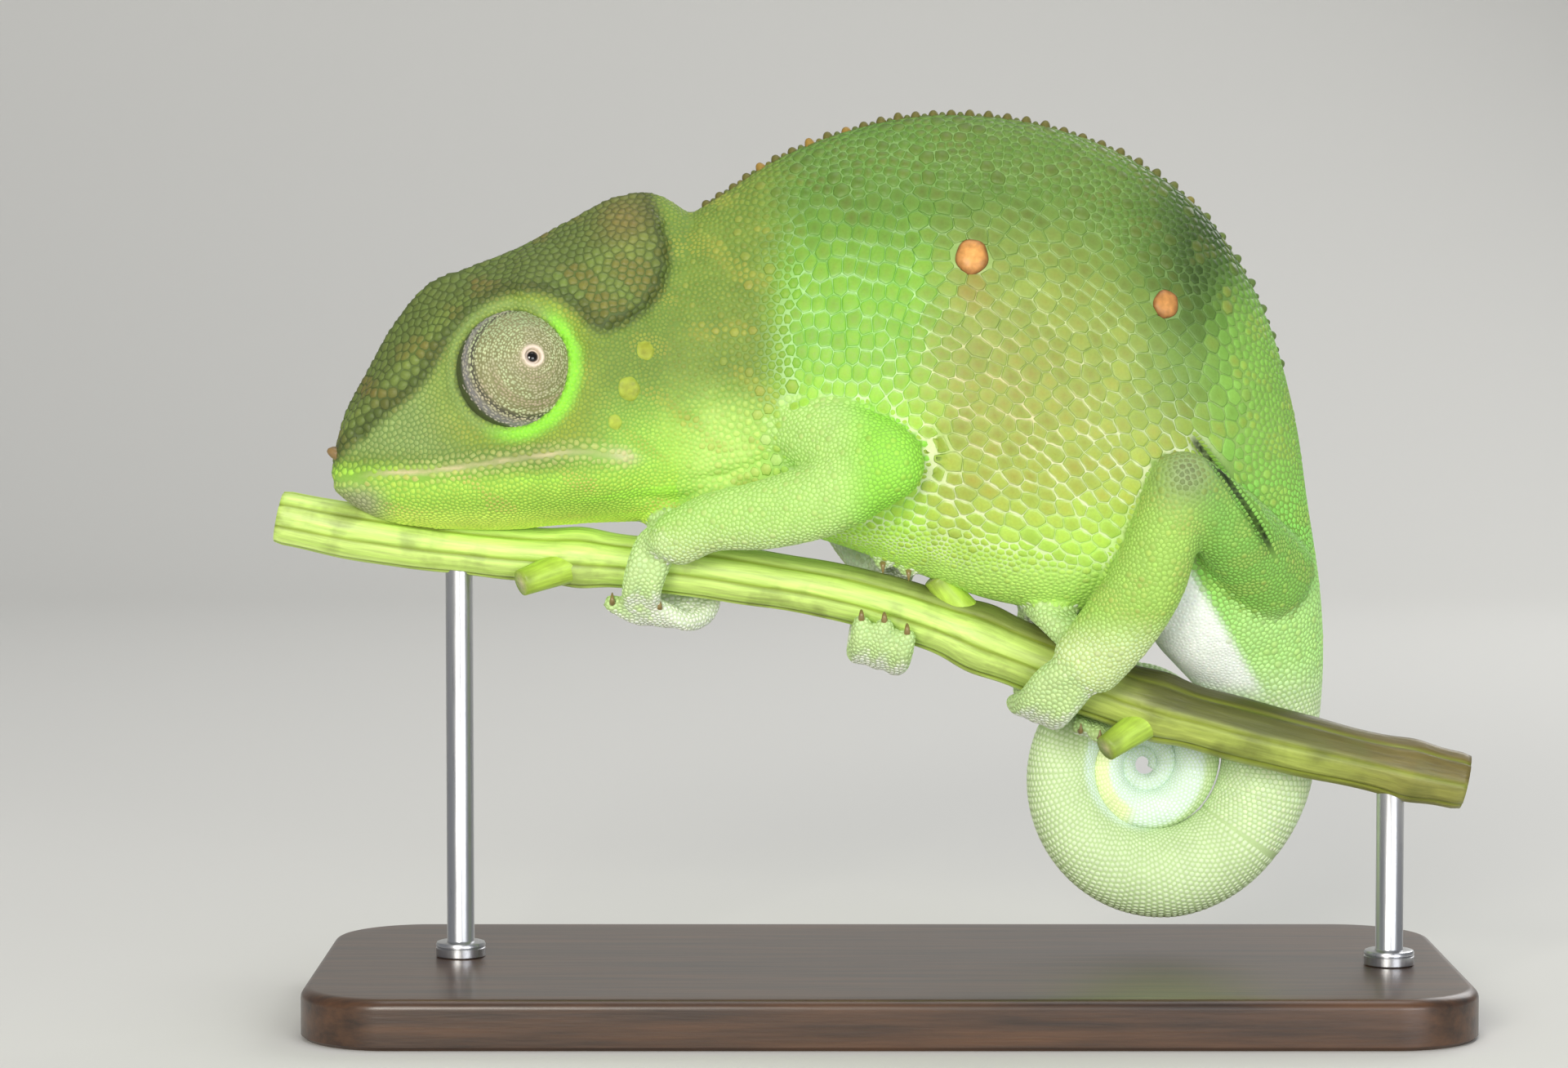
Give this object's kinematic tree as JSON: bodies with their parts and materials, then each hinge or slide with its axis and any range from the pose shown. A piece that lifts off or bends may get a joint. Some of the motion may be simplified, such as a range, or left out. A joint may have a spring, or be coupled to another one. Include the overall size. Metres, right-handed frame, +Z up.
{
  "type": "two-horned chameleon",
  "caption": "Life-size female two-horned chameleon with bud-like horns, asleep on a cut green twig with its tail coiled, on a plain display stand.",
  "frame": {"origin": "centre of the stand's underside, on the floor", "axes": "+X towards the tail, so the animal faces -X; +Y towards its right side; +Z up"},
  "size_m": [0.1217, 0.05, 0.092],
  "materials": {
    "skin": "satin",
    "pale_skin": "satin",
    "eyelid": "matte",
    "eye": "gloss",
    "horn": "satin",
    "bark": "satin",
    "wood": "satin",
    "steel": "brushed"
  },
  "bodies": {
    "root": {"head": "skin", "lower_jaw": "skin", "neck": "skin", "torso_front": "skin", "torso_rear": "skin", "rump": "skin", "upper_arm_left": "skin", "upper_arm_right": "skin", "forearm_left": "skin", "forearm_right": "skin", "thigh_left": "skin", "thigh_right": "skin", "shank_left": "skin", "shank_right": "skin", "tail_1_root": "pale_skin", "tail_2": "pale_skin", "tail_3": "pale_skin", "tail_4": "pale_skin", "tail_5": "pale_skin", "tail_6_tip": "pale_skin", "hand_left_outer": "pale_skin", "hand_left_inner": "pale_skin", "hand_right_outer": "pale_skin", "hand_right_inner": "pale_skin", "foot_left_outer": "pale_skin", "foot_left_inner": "pale_skin", "foot_right_outer": "pale_skin", "foot_right_inner": "pale_skin", "eye_turret_left": "eyelid", "eye_turret_right": "eyelid", "eye_left": "eye", "eye_right": "eye", "horn_bud_left": "horn", "horn_bud_right": "horn", "perch_twig": "bark", "stand_base": "wood", "stand_rod_1": "steel", "stand_rod_2": "steel"}
  },
  "joints": []
}
